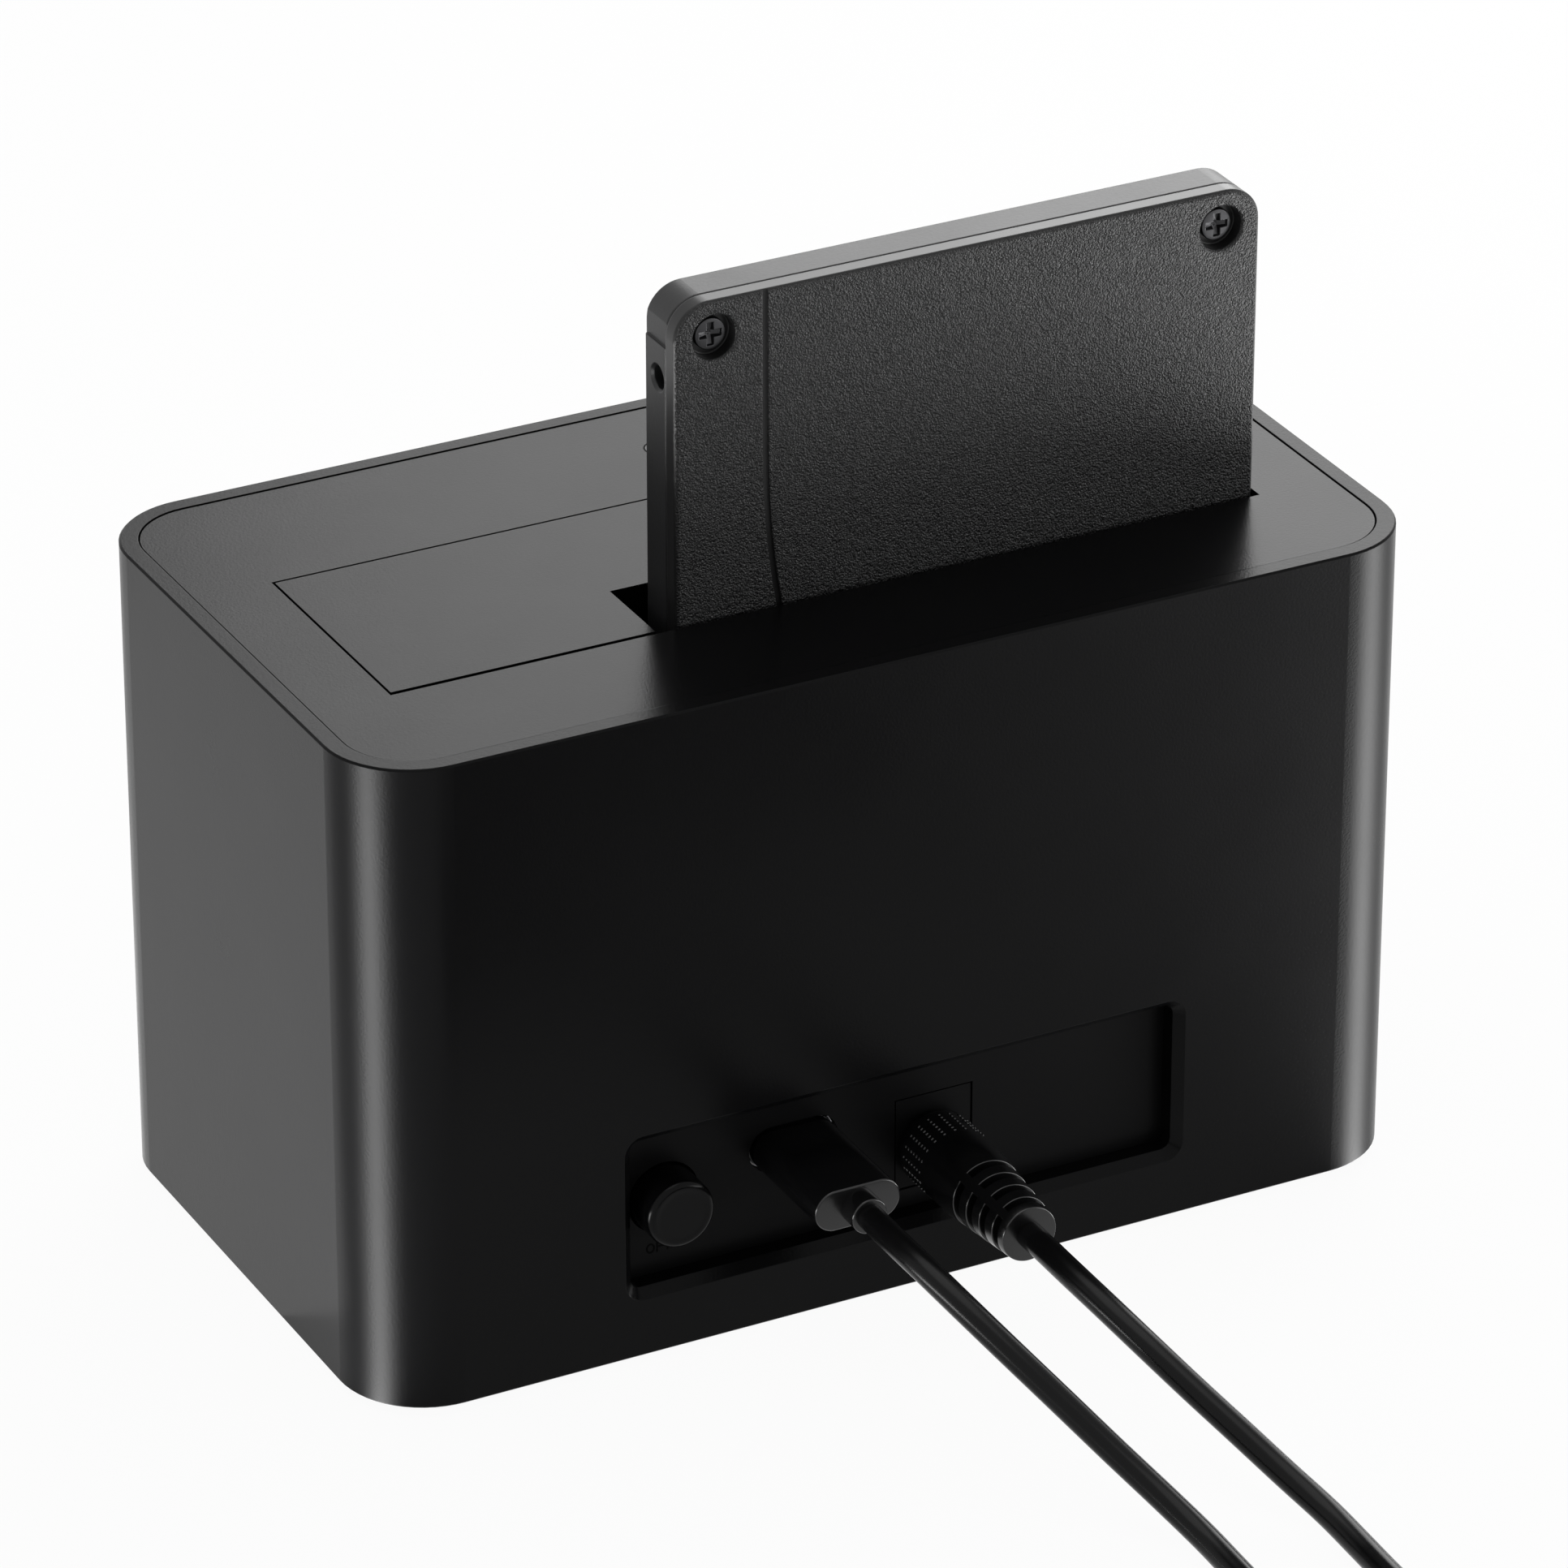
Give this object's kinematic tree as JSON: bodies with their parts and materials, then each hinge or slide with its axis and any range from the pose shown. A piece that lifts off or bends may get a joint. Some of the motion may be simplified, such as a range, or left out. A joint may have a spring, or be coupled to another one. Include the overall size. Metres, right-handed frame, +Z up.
{
  "type": "hard drive docking station",
  "caption": "Upright drive dock with a sprung top flap, a rear port window, a push power button, a docked 2.5 inch drive, a USB lead and a coiled adapter lead.",
  "frame": {"origin": "on the floor under the middle of the outer sleeve", "axes": "+Z up, +Y towards the rear ports, +X to the left when facing the ports from the rear"},
  "size_m": [0.1311, 0.275, 0.1134],
  "materials": {
    "housing": "satin moulded plastic with a fine grain",
    "panel": "satin moulded plastic",
    "drive_shell": "leather-grained moulded plastic",
    "lead": "smooth satin cord and plug plastic",
    "adapter": "satin moulded plastic",
    "rubber": "matt",
    "steel": "plated",
    "dark_steel": "blackened",
    "board": "solder mask",
    "chip": "moulded",
    "contact": "gold plated",
    "clear": "clear moulded"
  },
  "bodies": {
    "dock": {"outer_sleeve": "housing", "top_panel": "panel", "drive_well": "housing", "well_screws": "dark_steel", "flap_pin": "steel", "flap_spring": "steel", "base_plate": "housing", "rubber_feet": "rubber", "base_screws": "dark_steel", "main_board": "board", "board_screws": "steel", "sata_socket": "chip", "sata_contacts": "contact", "bridge_chip": "chip", "power_chips": "chip", "inductor": "dark_steel", "capacitors": "dark_steel", "crystal": "steel", "board_header": "chip", "port_board": "board", "port_panel": "panel", "usb_socket": "steel", "usb_tongue": "chip", "dc_jack": "chip", "dc_jack_pin": "steel", "switch_body": "chip", "button_spring": "steel", "light_board": "board", "status_light": "clear", "light_pipe": "clear", "usb_plug_grip": "lead", "usb_plug_shell": "steel", "usb_cord": "lead", "usb_coil": "lead", "usb_tie": "rubber", "usb_far_grip": "lead", "usb_far_shell": "steel", "usb_far_tongue": "chip", "dc_plug_grip": "lead", "dc_plug_barrel": "steel", "dc_cord": "lead", "dc_coil": "lead", "dc_tie": "rubber", "adapter_case": "adapter", "adapter_lid": "adapter", "adapter_blades": "steel", "adapter_grommet": "lead"},
    "flap": {"flap": "panel"},
    "button": {"power_button": "housing"},
    "drive": {"drive_case": "drive_shell", "drive_cover": "drive_shell", "drive_board": "board", "drive_chips": "chip", "drive_connector": "chip", "drive_screws": "dark_steel"}
  },
  "joints": [
    {"name": "flap_hinge", "type": "hinge", "parent": "dock", "child": "flap", "pos_m": [0, -0.0099, 0.075], "axis": [-1, 0, 0], "range_deg": [0, 88], "stiffness_Nm_per_rad": 0.012, "springref_deg": -34.38, "deforming": ["flap_spring"]},
    {"name": "button_push", "type": "slide", "parent": "dock", "child": "button", "axis": [0, -1, 0], "range_m": [0, 0.0015], "stiffness_N_per_m": 400, "springref_m": -0.002, "deforming": ["button_spring"]},
    {"name": "drive_lift", "type": "slide", "parent": "dock", "child": "drive", "axis": [0, 0, 1], "range_m": [0, 0.08]}
  ]
}
